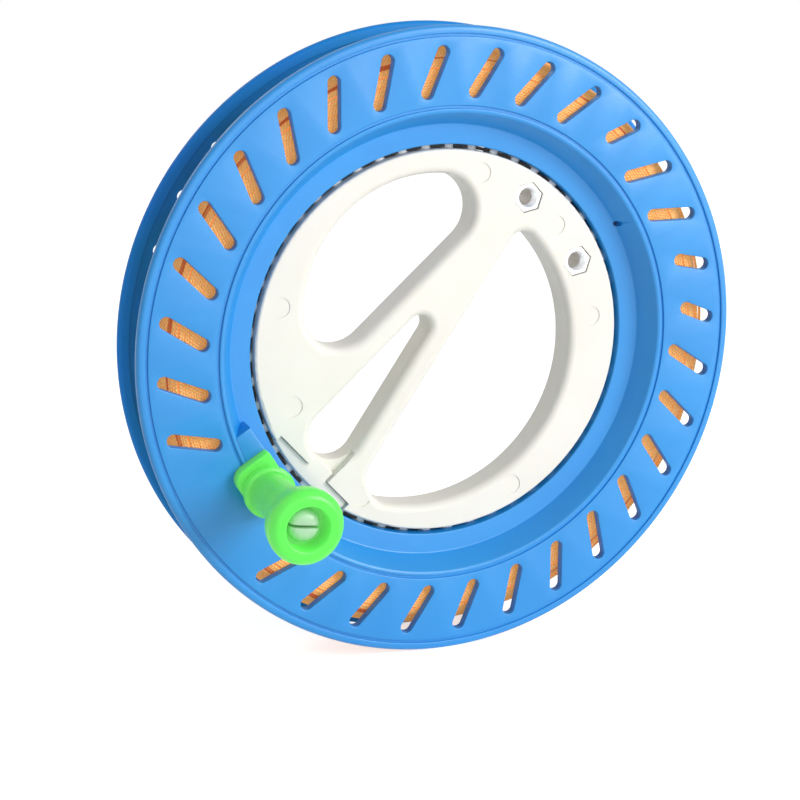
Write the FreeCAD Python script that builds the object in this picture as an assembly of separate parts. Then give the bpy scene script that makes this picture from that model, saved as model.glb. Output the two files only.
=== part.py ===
import FreeCAD, Part
import math
import os

os.makedirs("parts", exist_ok=True)

# A hand-held kite line winder: a flanged spool that spins on a ring of balls around a
# fixed hand grip, with a turning knob on the spool and a slide lock on the grip.
# All sizes in millimetres. Each piece is drawn lying flat, with the spool's axis along
# z, the middle of its width at z = 0 and its front up, and is then stood up so that
# the front faces -Y and the top of the grip faces +Z.

# Clearances
RUNNING = 0.05            # balls in their races and pins in their bores, on the radius
FITTED = 0.03             # pegs, screws and nuts in their holes, on the radius
SLIDING = 0.10            # the lock's slider in its recess
LOOSE = 0.25              # the ball cage between hub and spool, on the radius

# Ball bearing between the grip and the spool
BALL_COUNT = 50
BALL_RADIUS = 2.25
BALL_CIRCLE_RADIUS = 56.1
HUB_TO_SPOOL_GAP = 1.4
CAGE_BACK = 3.0           # from the middle of the balls to the cage's closed edge
CAGE_FRONT = 2.0          # from the middle of the balls to the cage's open edge
BALL_PLAY_IN_CAGE = 0.12

# Spool
SPOOL_WIDTH = 25.0
FLANGE_THICKNESS = 3.0
RIM_ROUNDING = 1.2
BEARING_RING_THICKNESS = 11.2
BEARING_RING_WIDTH = 5.8
CONE_RUN = 3.6            # how much wider the cone is at its top than at its foot
CONE_WALL = 2.0
RACE_WALL = 4.2           # from the spool's bore to the hollow behind it
CONE_TO_DRUM = 2.8
DRUM_WALL = 3.0
FLANGE_DEPTH = 21.0       # from the drum to the rim
RIM_GROOVE_INSET = 2.7    # from the rim to the middle of the outer decorative groove
INNER_GROOVE_INSET = 1.5  # from the cone's top to the middle of the inner one
GROOVE_WIDTH = 0.7
GROOVE_DEPTH = 0.5

# Slots through both flanges
SLOT_PITCHES = 32
PLAIN_PITCHES = 2         # pitches left bare beside the knob
FIRST_SLOT_ANGLE = 194.78
SLOT_RING_INSET = 12.64   # from the rim to the middle of a slot
SLOT_WIDTH = 3.7
SLOT_RUN = 11.85          # between the centres of a slot's two round ends
SLOT_TILT = 26.5
SHORT_SLOTS = (13, 16, 17)
SHORT_SLOT_LOSS = 4.0     # how much shorter those are, at the inner end

# Line
LINE_SIDE_DEPTH = 9.0     # thickness of the wound line beside the flanges
LINE_CROWN = 7.0          # how much thicker it is in the middle, where it heaps up
LINE_SIDE_PLAY = 0.1
LINE_EDGE_ROUNDING = 1.0
KNOT_RADIUS = 1.8
LINE_TAIL_RADIUS = 0.5
LINE_HOLE_RADIUS = 0.8
ANCHOR_ANGLE = 29.6
THREADING_HOLE_RADIUS = 0.9
THREADING_HOLE_OFFSET = 0.6   # outwards from the foot of the cone

# Screws that join the two halves of the spool
SCREW_COUNT = 6
SCREW_RADIUS = 1.3
SCREW_HEAD_RADIUS = 2.3
SCREW_HEAD_HEIGHT = 1.6
SCREW_DEPTH_IN_FRONT = 4.2
SCREW_FLOOR = 3.6         # thickness of plastic under the head
SCREW_BOSS_RADIUS = 3.0
SCREW_RING_OFFSET = 6.6   # from the spool's bore to the ring of screws
SCREW_HOLE_SPARE = 0.2    # depth left beyond a screw's tip

# Knob and what carries it
KNOB_ANGLE = -148.35
KNOB_INSET = 0.8          # from the top of the cone inwards to the knob's axis
PLATFORM_HALF_LENGTH = 16.6
PLATFORM_INNER_OFFSET = 6.1   # from the knob's axis to the platform's straight side
BASE_HEIGHT = 3.6
BASE_HALF_WIDTH = 6.2
BASE_LENGTH = 9.2         # from the knob's axis to the base's flat end
BASE_INNER_CORNER = 0.8   # rounding of the flat end's corner towards the bearing
BASE_OUTER_CORNER = 4.0   # and of its corner towards the rim
WASHER_THICKNESS = 0.4
WASHER_RADIUS = 6.2
POST_RADIUS = 4.0
POST_FOOT_RADIUS = 5.5
POST_FOOT_THICKNESS = 1.8
POST_BARB = 0.5           # how far the snap heads stand out past the post
POST_HEAD_LENGTH = 3.5
POST_SLIT_WIDTH = 0.9
POST_SLIT_DEPTH = 15.0
POST_SLIT_ANGLE = -8.0    # of the slit from level
KNOB_LENGTH = 35.0
KNOB_RECESS_RADIUS = 5.9
KNOB_RECESS_DEPTH = 5.7
KNOB_COLLAR_RADIUS = 7.3
KNOB_COLLAR_LENGTH = 2.0
KNOB_NECK_RADIUS = 5.9
KNOB_HEAD_RADIUS = 10.3
KNOB_HEAD_LENGTH = 16.0
KNOB_END_ROUNDING = 3.0
POST_SCREW_SEAT = 4.0     # below the platform's top
POST_SCREW_REACH = 6.5    # into the post

# Hand grip
GRIP_THICKNESS = 11.4
GRIP_FACE_WALL = 2.0
GRIP_SIDE_WALL = 2.2
RACE_BACKING = 2.9        # plastic left between the hub's race and its hollows
GRIP_EDGE_ROUNDING = 2.4
GRIP_RIM_ROUNDING = 0.8
BAR_ANGLE = 41.5          # direction of the hand bar, up to the right
THUMB_ARC_CENTRE = (4.95, 9.37)
THUMB_RIM_WIDTH = 6.50     # narrowest place between the thumb opening and the rim
THUMB_CORNER = 10.5
BAR_TOP = 18.2
FINGER_ARC_CENTRE = (-5.22, 1.95)
FINGER_RIM_WIDTH = 4.13    # narrowest place between the finger opening and the rim
FINGER_FIRST_CORNER = 8.0
FINGER_LAST_CORNER = 4.0
BAR_UNDERSIDE_START = (-38.0, -11.2)
BAR_UNDERSIDE_END = (40.5, 8.0)
BAR_SLOT_INSET = 7.8      # from the rim to the slot's wide end, along the bar
BAR_SLOT_BIG_HEIGHT = 3.4     # of the middle of its wide end, across the bar
BAR_SLOT_BIG_RADIUS = 7.8
BAR_SLOT_SMALL_END = (-1.5, 8.1)
BAR_SLOT_SMALL_RADIUS = 3.2

# Fasteners of the grip: each place is an inset from the grip's rim and an angle, which
# is counted from the right, seen from the front
GRIP_SCREW_INSETS = (5.73, 7.74, 7.92, 5.58, 5.66, 8.28, 5.37)
GRIP_SCREW_ANGLES = (76.02, 41.85, 4.95, -63.79, -120.17, -162.33, 163.63)
MARK_RADIUS = 2.9         # shallow round mark in the front face over each screw
MARK_DEPTH = 0.25
GRIP_SCREW_TIP = 3.6      # above the middle of the grip
GRIP_SCREW_FLOOR = 3.0    # thickness of plastic under the head
BOSS_WALL = 1.7
NUT_INSETS = (7.03, 8.02)
NUT_ANGLES = (56.42, 25.97)
NUT_ACROSS_FLATS = 8.0
NUT_THICKNESS = 4.0
NUT_BORE_RADIUS = 2.5     # an M5 thread, drawn at its nominal size
NUT_CHAMFER = 0.4
BOLT_HOLE_RADIUS = 2.5    # right through the grip behind each nut

# Slide lock
LOCK_HEAD_DEPTH = 4.4     # from the rim to the straight edge of the recess
LOCK_ENDS = (-14.4, 15.4)
LOCK_STEM = (-5.0, 3.0)
LOCK_RECESS_FLOOR = 2.9   # above the middle of the grip
LOCK_TOP = 4.4            # above the middle of the grip
LOCK_TONGUE = 0.8
LOCK_RIM_SETBACK = 0.2
LOCK_STEM_SETBACK = 0.3   # from the bar's slot to the end of the slider's stem
LOCK_TRAVEL = 1.2
SPRING_LENGTH = 6.0
SPRING_WIDTH = 1.4
SPRING_THICKNESS = 0.3
SPRING_RISE = 1.1         # from the spring's feet to the crown that presses on the slider
SPRING_SINK = 0.7         # depth of its pocket in the recess floor

# Sizes that follow
half_width = SPOOL_WIDTH / 2
half_ring = BEARING_RING_THICKNESS / 2
half_grip = GRIP_THICKNESS / 2
race_radius = BALL_RADIUS + RUNNING
hub_radius = BALL_CIRCLE_RADIUS - HUB_TO_SPOOL_GAP / 2
bore_radius = BALL_CIRCLE_RADIUS + HUB_TO_SPOOL_GAP / 2
thumb_arc_radius = hub_radius - THUMB_RIM_WIDTH - math.hypot(*THUMB_ARC_CENTRE)
finger_arc_radius = hub_radius - FINGER_RIM_WIDTH - math.hypot(*FINGER_ARC_CENTRE)
bar_slot_big_end = (BAR_SLOT_INSET + BAR_SLOT_BIG_RADIUS - hub_radius, BAR_SLOT_BIG_HEIGHT)
lock_chord = hub_radius - LOCK_HEAD_DEPTH
cone_foot = bore_radius + BEARING_RING_WIDTH
cone_top = cone_foot + CONE_RUN
drum_radius = cone_top + CONE_TO_DRUM
drum_inside = drum_radius - DRUM_WALL
flange_radius = drum_radius + FLANGE_DEPTH
line_radius = drum_radius + LINE_SIDE_DEPTH
knob_axis_radius = cone_top - KNOB_INSET
base_top = half_width + BASE_HEIGHT
knob_bottom = base_top + WASHER_THICKNESS + RUNNING
knob_top = knob_bottom + KNOB_LENGTH
knob_ledge = knob_top - KNOB_RECESS_DEPTH
post_top = knob_ledge + RUNNING + POST_HEAD_LENGTH
knob_bore = POST_RADIUS + RUNNING

ORIGIN = FreeCAD.Vector(0, 0, 0)
X_AXIS = FreeCAD.Vector(1, 0, 0)
Z_AXIS = FreeCAD.Vector(0, 0, 1)


def point(x, y, z=0.0):
    return FreeCAD.Vector(x, y, z)


def around(radius, degrees):
    """The point at this radius and angle, the angle counted from the right."""
    turn = math.radians(degrees)
    return point(radius * math.cos(turn), radius * math.sin(turn))


def turned(shape, degrees):
    """A copy turned about the spool's axis."""
    copy = shape.copy()
    copy.rotate(ORIGIN, Z_AXIS, degrees)
    return copy


def pin(radius, bottom, top, place=(0.0, 0.0)):
    """An upright cylinder."""
    return Part.makeCylinder(radius, top - bottom, point(place[0], place[1], bottom), Z_AXIS)


def block(x_range, y_range, z_range):
    """A box between three pairs of limits."""
    low = point(x_range[0], y_range[0], z_range[0])
    size = [span[1] - span[0] for span in (x_range, y_range, z_range)]
    return Part.makeBox(size[0], size[1], size[2], low)


def plate(outline, bottom, top):
    """A flat outline, a list of edges, raised between two heights."""
    face = Part.Face(Part.Wire(Part.__sortEdges__(outline)))
    solid = face.extrude(point(0, 0, top - bottom))
    solid.translate(point(0, 0, bottom))
    return solid


def lathe(profile):
    """A ring or shaft turned about the z axis from (radius, height) points."""
    corners = [point(radius, 0, height) for radius, height in profile]
    face = Part.Face(Part.makePolygon(corners + [corners[0]]))
    return face.revolve(ORIGIN, Z_AXIS, 360)


def hexagon(across_flats, bottom, top, place):
    """An upright hexagonal prism with two flats square to the hand bar."""
    corner = across_flats / math.sqrt(3)
    corners = [around(corner, BAR_ANGLE + 30 + 60 * side) for side in range(7)]
    prism = Part.Face(Part.makePolygon(corners)).extrude(point(0, 0, top - bottom))
    prism.translate(point(place[0], place[1], bottom))
    return prism


def upright_edges(solid):
    """The edges that run straight along z."""
    found = []
    for edge in solid.Edges:
        start = edge.Vertexes[0].Point
        end = edge.Vertexes[-1].Point
        if abs(start.z - end.z) > 0.5 and math.hypot(start.x - end.x, start.y - end.y) < 1e-4:
            found.append(edge)
    return found


def edges_at(solid, height, inside_radius):
    """The edges that lie at one height, all within a radius of the axis."""
    found = []
    for edge in solid.Edges:
        box = edge.BoundBox
        level = abs(box.ZMin - height) < 1e-4 and abs(box.ZMax - height) < 1e-4
        reach = max(math.hypot(v.Point.x, v.Point.y) for v in edge.Vertexes)
        if level and reach < inside_radius:
            found.append(edge)
    return found


def rear_of(shape):
    """The same piece mirrored to the other half."""
    return shape.mirror(ORIGIN, Z_AXIS)


def as_solids(shape):
    """A list of the clean solids in a shape."""
    return [solid for solid in shape.removeSplitter().Solids]


def save(name, shapes):
    """Stand the solids of one node up and write them."""
    solids = []
    for shape in shapes:
        solids.extend(as_solids(shape))
    node = solids[0] if len(solids) == 1 else Part.makeCompound(solids)
    node = node.copy()
    node.rotate(ORIGIN, X_AXIS, 90)
    node.exportStep("parts/" + name + ".step")
    print(name, len(solids), "solids", round(node.Volume), "mm3")


# ---------------------------------------------------------------- spool


def race_ring():
    """The round groove that the balls run in, cut half into the hub and half into the spool."""
    return Part.makeTorus(BALL_CIRCLE_RADIUS, race_radius)


def flange_slots():
    """The slanted slots in one flange, with the plain stretch beside the knob left out."""
    middle = flange_radius - SLOT_RING_INSET
    along = around(1.0, -SLOT_TILT)
    across = around(1.0, 90 - SLOT_TILT)
    half = SLOT_WIDTH / 2
    cutters = []
    for number in range(SLOT_PITCHES - PLAIN_PITCHES):
        loss = SHORT_SLOT_LOSS if number in SHORT_SLOTS else 0.0
        outer = point(middle, 0) + along * (SLOT_RUN / 2)
        inner = point(middle, 0) - along * (SLOT_RUN / 2 - loss)
        outline = [
            Part.LineSegment(inner + across * half, outer + across * half).toShape(),
            Part.Arc(outer + across * half, outer + along * half, outer - across * half).toShape(),
            Part.LineSegment(outer - across * half, inner - across * half).toShape(),
            Part.Arc(inner - across * half, inner - along * half, inner + across * half).toShape(),
        ]
        slot = plate(outline, half_width - 2 * FLANGE_THICKNESS, half_width + 1)
        cutters.append(turned(slot, FIRST_SLOT_ANGLE - number * 360.0 / SLOT_PITCHES))
    return cutters


def spool_blank():
    """The front half before its bosses: flange, cone, bearing ring and hollow drum."""
    blank = lathe([
        (bore_radius, 0),
        (bore_radius, half_ring),
        (cone_foot, half_ring),
        (cone_top, half_width),
        (flange_radius, half_width),
        (flange_radius, half_width - FLANGE_THICKNESS),
        (drum_radius, half_width - FLANGE_THICKNESS),
        (drum_radius, 0),
    ])
    rim = [edge for edge in blank.Edges
           if abs(edge.BoundBox.XMax - flange_radius) < 1e-3 and edge.BoundBox.ZLength < 1e-3]
    blank = blank.makeFillet(RIM_ROUNDING, rim)
    rise = half_width - half_ring
    slope = math.hypot(CONE_RUN, rise)
    shift = CONE_WALL * slope / rise
    ceiling = half_ring - CONE_WALL
    first = cone_foot + shift + (ceiling - half_ring) * CONE_RUN / rise
    last_height = half_ring + (drum_inside - cone_foot - shift) * rise / CONE_RUN
    hollow = lathe([
        (bore_radius + RACE_WALL, -1),
        (bore_radius + RACE_WALL, ceiling),
        (first, ceiling),
        (drum_inside, last_height),
        (drum_inside, -1),
    ])
    blank = blank.cut(hollow)
    blank = blank.cut(race_ring())
    for middle in (flange_radius - RIM_GROOVE_INSET, cone_top + INNER_GROOVE_INSET):
        groove = lathe([
            (middle - GROOVE_WIDTH / 2, half_width - GROOVE_DEPTH),
            (middle - GROOVE_WIDTH / 2, half_width + 1),
            (middle + GROOVE_WIDTH / 2, half_width + 1),
            (middle + GROOVE_WIDTH / 2, half_width - GROOVE_DEPTH),
        ])
        blank = blank.cut(groove)
    blank = blank.cut(flange_slots())
    tail_hole = Part.makeCylinder(LINE_HOLE_RADIUS, drum_radius, ORIGIN, around(1, ANCHOR_ANGLE))
    tail_hole = tail_hole.cut(pin(drum_inside - 1, -half_width, half_width))
    return blank.cut(tail_hole)


def screw_places():
    """Where the spool's screws stand, half a pitch clear of the knob."""
    pitch = 360.0 / SCREW_COUNT
    places = []
    for number in range(SCREW_COUNT):
        spot = around(bore_radius + SCREW_RING_OFFSET, KNOB_ANGLE + pitch * (number + 0.5))
        places.append((spot.x, spot.y))
    return places


def screw_boss(place, height):
    """A post in the hollow that joins the walls on either side of it."""
    boss = pin(SCREW_BOSS_RADIUS, 0, height, place)
    return boss.common(lathe([
        (bore_radius + RACE_WALL / 2, 0),
        (bore_radius + RACE_WALL / 2, height),
        (drum_radius - DRUM_WALL / 2, height),
        (drum_radius - DRUM_WALL / 2, 0),
    ]))


def knob_place():
    spot = around(knob_axis_radius, KNOB_ANGLE)
    return (spot.x, spot.y)


def at_knob(shape):
    """Move a shape drawn about its own axis, +x outwards, to the knob's place on the spool."""
    copy = shape.copy()
    copy.translate(point(knob_axis_radius, 0))
    return turned(copy, KNOB_ANGLE)


def knob_platform():
    """The raised block of the front half that carries the knob, level with the flange."""
    outer = cone_top - knob_axis_radius + CONE_TO_DRUM / 2
    body = block(
        (-PLATFORM_INNER_OFFSET, outer),
        (-PLATFORM_HALF_LENGTH, PLATFORM_HALF_LENGTH),
        (half_ring - CONE_WALL / 2, half_width),
    )
    inside_cone = pin(cone_top + GROOVE_WIDTH / 2, 0, half_width)
    return at_knob(body).common(inside_cone)


def locating_peg(clearance):
    """The small peg under the knob's base that keeps it from turning."""
    place = (0.0, -(POST_FOOT_RADIUS + BASE_LENGTH) / 2)
    radius = (BASE_LENGTH - POST_FOOT_RADIUS) / 4 + clearance
    return pin(radius, half_width - 2 * radius - clearance, half_width + BASE_HEIGHT / 4, place)


def spool_front_half():
    half = spool_blank()
    bosses = [screw_boss(place, half_ring - CONE_WALL / 2) for place in screw_places()]
    half = half.fuse(bosses + [knob_platform()])
    holes = [pin(SCREW_RADIUS + FITTED, -1, SCREW_DEPTH_IN_FRONT + SCREW_HOLE_SPARE, place)
             for place in screw_places()]
    seat = half_width - POST_SCREW_SEAT
    holes.append(pin(SCREW_HEAD_RADIUS + FITTED, -1, seat, knob_place()))
    holes.append(pin(SCREW_RADIUS + RUNNING, 0, half_width + 1, knob_place()))
    holes.append(at_knob(locating_peg(FITTED)))
    threading = around(cone_foot + THREADING_HOLE_OFFSET, ANCHOR_ANGLE)
    holes.append(pin(THREADING_HOLE_RADIUS, 1, half_width, (threading.x, threading.y)))
    return half.cut(holes)


def spool_rear_half():
    half = spool_blank()
    bosses = [screw_boss(place, SCREW_FLOOR + CONE_WALL) for place in screw_places()]
    half = half.fuse(bosses)
    holes = []
    for place in screw_places():
        holes.append(pin(SCREW_RADIUS + RUNNING, -1, half_width, place))
        holes.append(pin(SCREW_HEAD_RADIUS + LOOSE, SCREW_FLOOR, half_width, place))
    return rear_of(half.cut(holes))


def cross_recess(top, place):
    """The cross slot of a screw head whose top is at this height."""
    arm = SCREW_HEAD_RADIUS * 0.6
    bar = block((-arm, arm), (-arm / 5, arm / 5), (top - arm / 2, top + 1))
    cross = bar.fuse(turned(bar, 90))
    cross.translate(point(place[0], place[1]))
    return cross


def rear_screw(place, floor, tip):
    """A cross-head screw driven in from the rear: its head on one half, its tip in the other."""
    head_top = floor + SCREW_HEAD_HEIGHT
    screw = pin(SCREW_HEAD_RADIUS, floor, head_top, place)
    screw = screw.fuse(pin(SCREW_RADIUS, -tip, floor, place))
    return rear_of(screw.cut(cross_recess(head_top, place)))


def spool_screws():
    return [rear_screw(place, SCREW_FLOOR, SCREW_DEPTH_IN_FRONT) for place in screw_places()]


# ---------------------------------------------------------------- line


def line_winding():
    """The wound line as one closed ring between the flanges."""
    side = half_width - FLANGE_THICKNESS - LINE_SIDE_PLAY
    outline = [point(line_radius, 0, -side), point(drum_radius, 0, -side),
               point(drum_radius, 0, side), point(line_radius, 0, side)]
    edges = [Part.LineSegment(outline[i], outline[i + 1]).toShape() for i in range(3)]
    crown = point(line_radius + LINE_CROWN, 0, 0)
    edges.append(Part.Arc(outline[3], crown, outline[0]).toShape())
    ring = Part.Face(Part.Wire(edges)).revolve(ORIGIN, Z_AXIS, 360)
    corners = [edge for edge in ring.Edges
               if abs(edge.BoundBox.XMax - line_radius) < 1e-3 and edge.BoundBox.ZLength < 1e-3]
    return ring.makeFillet(LINE_EDGE_ROUNDING, corners)


def line_knot():
    """The line's inner end: a tail through the drum and the knot that holds it there."""
    heading = around(1, ANCHOR_ANGLE)
    knot = Part.makeSphere(KNOT_RADIUS, heading * (drum_inside - KNOT_RADIUS))
    tail_start = heading * (drum_inside - KNOT_RADIUS)
    tail = Part.makeCylinder(LINE_TAIL_RADIUS, drum_radius, tail_start, heading)
    return knot.fuse(tail.common(pin(drum_radius, -half_width, half_width)))


# ---------------------------------------------------------------- knob


def knob_base():
    """The block under the knob, round at one end and square at the other."""
    outline = [
        Part.LineSegment(point(BASE_HALF_WIDTH, 0), point(BASE_HALF_WIDTH, -BASE_LENGTH)).toShape(),
        Part.LineSegment(point(BASE_HALF_WIDTH, -BASE_LENGTH),
                         point(-BASE_HALF_WIDTH, -BASE_LENGTH)).toShape(),
        Part.LineSegment(point(-BASE_HALF_WIDTH, -BASE_LENGTH), point(-BASE_HALF_WIDTH, 0)).toShape(),
        Part.Arc(point(-BASE_HALF_WIDTH, 0), point(0, BASE_HALF_WIDTH),
                 point(BASE_HALF_WIDTH, 0)).toShape(),
    ]
    body = plate(outline, half_width, base_top)
    for side, rounding in ((-1, BASE_INNER_CORNER), (1, BASE_OUTER_CORNER)):
        corner = [edge for edge in upright_edges(body)
                  if edge.BoundBox.YMax < 1e-3 - BASE_LENGTH and edge.BoundBox.XMin * side > 0]
        body = body.makeFillet(rounding, corner)
    body = body.cut(pin(POST_FOOT_RADIUS + FITTED, 0, half_width + POST_FOOT_THICKNESS))
    body = body.cut(pin(POST_RADIUS + FITTED, 0, base_top + 1))
    return at_knob(body.fuse(locating_peg(0.0)))


def knob_post():
    """The fixed post that the knob turns on, split at its end into two snap heads."""
    foot_top = half_width + POST_FOOT_THICKNESS
    post = pin(POST_FOOT_RADIUS, half_width, foot_top)
    post = post.fuse(pin(POST_RADIUS, half_width, post_top))
    head = lathe([
        (0, knob_ledge + RUNNING),
        (POST_RADIUS + POST_BARB, knob_ledge + RUNNING),
        (POST_RADIUS + POST_BARB, post_top - POST_HEAD_LENGTH / 2),
        (POST_RADIUS - POST_BARB, post_top),
        (0, post_top),
    ])
    wide = KNOB_HEAD_RADIUS
    head = head.common(block((-POST_RADIUS, POST_RADIUS), (-wide, wide), (0, post_top)))
    slit = block((-wide, wide), (-POST_SLIT_WIDTH / 2, POST_SLIT_WIDTH / 2),
                 (post_top - POST_SLIT_DEPTH, post_top + 1))
    post = turned(post.fuse(head).cut(slit), POST_SLIT_ANGLE - KNOB_ANGLE)
    reach = half_width + POST_SCREW_REACH + SCREW_HOLE_SPARE
    return at_knob(post.cut(pin(SCREW_RADIUS + FITTED, half_width - 1, reach)))


def knob_post_screw():
    seat = half_width - POST_SCREW_SEAT
    place = knob_place()
    screw = pin(SCREW_HEAD_RADIUS, seat - SCREW_HEAD_HEIGHT, seat, place)
    screw = screw.fuse(pin(SCREW_RADIUS, seat, half_width + POST_SCREW_REACH, place))
    cross = rear_of(cross_recess(SCREW_HEAD_HEIGHT - seat, place))
    return screw.cut(cross)


def knob_washer():
    ring = pin(WASHER_RADIUS, base_top, base_top + WASHER_THICKNESS)
    return at_knob(ring.cut(pin(knob_bore, 0, knob_top)))


def knob_grip():
    """The turning knob: collar, slim neck, flared head and a recess for the snap heads."""
    collar_top = knob_bottom + KNOB_COLLAR_LENGTH
    head_start = knob_top - KNOB_HEAD_LENGTH
    widest = knob_top - KNOB_END_ROUNDING
    lip = KNOB_HEAD_RADIUS - KNOB_END_ROUNDING * 0.3
    face = KNOB_HEAD_RADIUS - KNOB_END_ROUNDING
    neck_middle = (collar_top + head_start) / 2
    corners = [
        point(knob_bore, 0, knob_bottom),
        point(KNOB_COLLAR_RADIUS, 0, knob_bottom),
        point(KNOB_COLLAR_RADIUS, 0, collar_top),
        point(KNOB_NECK_RADIUS, 0, collar_top),
    ]
    edges = [Part.LineSegment(corners[i], corners[i + 1]).toShape() for i in range(3)]
    flare = Part.BSplineCurve()
    flare.interpolate([
        corners[3],
        point(KNOB_NECK_RADIUS, 0, neck_middle),
        point((KNOB_NECK_RADIUS + KNOB_HEAD_RADIUS) / 2, 0, head_start + KNOB_HEAD_LENGTH * 0.3),
        point(KNOB_HEAD_RADIUS, 0, widest),
    ])
    edges.append(flare.toShape())
    edges.append(Part.Arc(point(KNOB_HEAD_RADIUS, 0, widest),
                          point(lip, 0, knob_top - KNOB_END_ROUNDING * 0.3),
                          point(face, 0, knob_top)).toShape())
    rest = [
        point(face, 0, knob_top),
        point(KNOB_RECESS_RADIUS, 0, knob_top),
        point(KNOB_RECESS_RADIUS, 0, knob_ledge),
        point(knob_bore, 0, knob_ledge),
        corners[0],
    ]
    edges += [Part.LineSegment(rest[i], rest[i + 1]).toShape() for i in range(4)]
    return at_knob(Part.Face(Part.Wire(edges)).revolve(ORIGIN, Z_AXIS, 360))


# ---------------------------------------------------------------- ball set


def ball_places():
    return [around(BALL_CIRCLE_RADIUS, number * 360.0 / BALL_COUNT) for number in range(BALL_COUNT)]


def bearing_balls():
    return [Part.makeSphere(BALL_RADIUS, place) for place in ball_places()]


def ball_cage():
    """A thin ring with a pocket for each ball, open towards the front."""
    inner = hub_radius + LOOSE
    outer = bore_radius - LOOSE
    ring = pin(outer, -CAGE_BACK, CAGE_FRONT).cut(pin(inner, -CAGE_BACK - 1, CAGE_FRONT + 1))
    pockets = []
    for place in ball_places():
        start = place * ((inner - 1) / BALL_CIRCLE_RADIUS)
        pockets.append(Part.makeCylinder(BALL_RADIUS + BALL_PLAY_IN_CAGE, outer - inner + 2,
                                         start, place))
    return ring.cut(pockets)


# ---------------------------------------------------------------- hand grip


def rim_places(insets, angles):
    """The points at these insets from the grip's rim and these angles."""
    return [around(hub_radius - inset, angle) for inset, angle in zip(insets, angles)]


def grip_screw_places():
    return rim_places(GRIP_SCREW_INSETS, GRIP_SCREW_ANGLES)


def nut_places():
    return rim_places(NUT_INSETS, NUT_ANGLES)


def in_bar_frame(shape):
    """Turn a shape drawn with +x along the hand bar to the bar's own angle."""
    return turned(shape, BAR_ANGLE)


def thumb_opening(grow, depth):
    """The opening over the bar, grown outwards by a wall where it shapes a hollow."""
    centre = THUMB_ARC_CENTRE
    reach = thumb_arc_radius + grow
    bow = pin(reach, -depth, depth, centre)
    above = block((-2 * reach, 2 * reach), (BAR_TOP - grow, 3 * reach), (-depth, depth))
    opening = bow.common(above)
    return in_bar_frame(opening.makeFillet(THUMB_CORNER + grow, upright_edges(opening)))


def finger_opening(grow, depth):
    """The opening under the bar, bounded by the bar's slanting underside."""
    centre = FINGER_ARC_CENTRE
    reach = finger_arc_radius + grow
    bow = pin(reach, -depth, depth, centre)
    bow.rotate(point(*centre), Z_AXIS, 90)
    start = point(*BAR_UNDERSIDE_START)
    slope = math.atan2(BAR_UNDERSIDE_END[1] - start.y, BAR_UNDERSIDE_END[0] - start.x)
    below = block((-3 * reach, 3 * reach), (-3 * reach, grow / math.cos(slope)), (-depth, depth))
    below.rotate(ORIGIN, Z_AXIS, math.degrees(slope))
    below.translate(start)
    opening = bow.common(below)
    corners = sorted(upright_edges(opening), key=lambda edge: edge.BoundBox.XMin)
    opening = opening.makeFillet(FINGER_FIRST_CORNER + grow, [corners[0]])
    corners = sorted(upright_edges(opening), key=lambda edge: edge.BoundBox.XMin)
    return in_bar_frame(opening.makeFillet(FINGER_LAST_CORNER + grow, [corners[-1]]))


def bar_slot(grow, depth):
    """The drop-shaped slot through the bar: two round ends and the two lines that touch both."""
    big = point(*bar_slot_big_end)
    small = point(*BAR_SLOT_SMALL_END)
    big_radius = BAR_SLOT_BIG_RADIUS + grow
    small_radius = BAR_SLOT_SMALL_RADIUS + grow
    span = small - big
    heading = math.atan2(span.y, span.x)
    lean = math.acos((big_radius - small_radius) / span.Length)

    def touch(centre, radius, side):
        angle = heading + side * lean
        return centre + point(math.cos(angle), math.sin(angle)) * radius

    back = point(math.cos(heading), math.sin(heading))
    outline = [
        Part.LineSegment(touch(big, big_radius, 1), touch(small, small_radius, 1)).toShape(),
        Part.Arc(touch(small, small_radius, 1), small + back * small_radius,
                 touch(small, small_radius, -1)).toShape(),
        Part.LineSegment(touch(small, small_radius, -1), touch(big, big_radius, -1)).toShape(),
        Part.Arc(touch(big, big_radius, -1), big - back * big_radius,
                 touch(big, big_radius, 1)).toShape(),
    ]
    return in_bar_frame(plate(outline, -depth, depth))


def grip_hollow(height):
    """The hollow inside one half, with a wall left all round and bosses left standing."""
    hollow = pin(BALL_CIRCLE_RADIUS - race_radius - RACE_BACKING, -1, height)
    deep = height + 2
    hollow = hollow.cut([
        thumb_opening(GRIP_SIDE_WALL, deep),
        finger_opening(GRIP_SIDE_WALL, deep),
        bar_slot(GRIP_SIDE_WALL, deep),
    ])
    bosses = [pin(SCREW_HEAD_RADIUS + LOOSE + BOSS_WALL, -2, deep, place)
              for place in grip_screw_places()]
    bosses += [pin(NUT_ACROSS_FLATS / math.sqrt(3) + BOSS_WALL, -2, deep, place)
               for place in nut_places()]
    lock_zone = block(
        (-2 * lock_chord, bar_slot_big_end[0]),
        (LOCK_ENDS[0] - GRIP_SIDE_WALL * 2, LOCK_ENDS[1] + GRIP_SIDE_WALL * 2),
        (-2, deep),
    )
    return hollow.cut(bosses + [in_bar_frame(lock_zone)])


def grip_blank():
    """Half of the grip before its hollow: a disc with three openings and soft edges."""
    blank = pin(hub_radius, 0, half_grip)
    blank = blank.cut([
        thumb_opening(0, half_grip * 2),
        finger_opening(0, half_grip * 2),
        bar_slot(0, half_grip * 2),
    ])
    inner = edges_at(blank, half_grip, hub_radius - 1)
    blank = blank.makeFillet(GRIP_EDGE_ROUNDING, inner)
    outer = [edge for edge in blank.Edges
             if abs(edge.BoundBox.ZMin - half_grip) < 1e-4 and edge.BoundBox.XMax > hub_radius - 0.01]
    blank = blank.makeFillet(GRIP_RIM_ROUNDING, outer)
    return blank.cut(race_ring())


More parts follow.
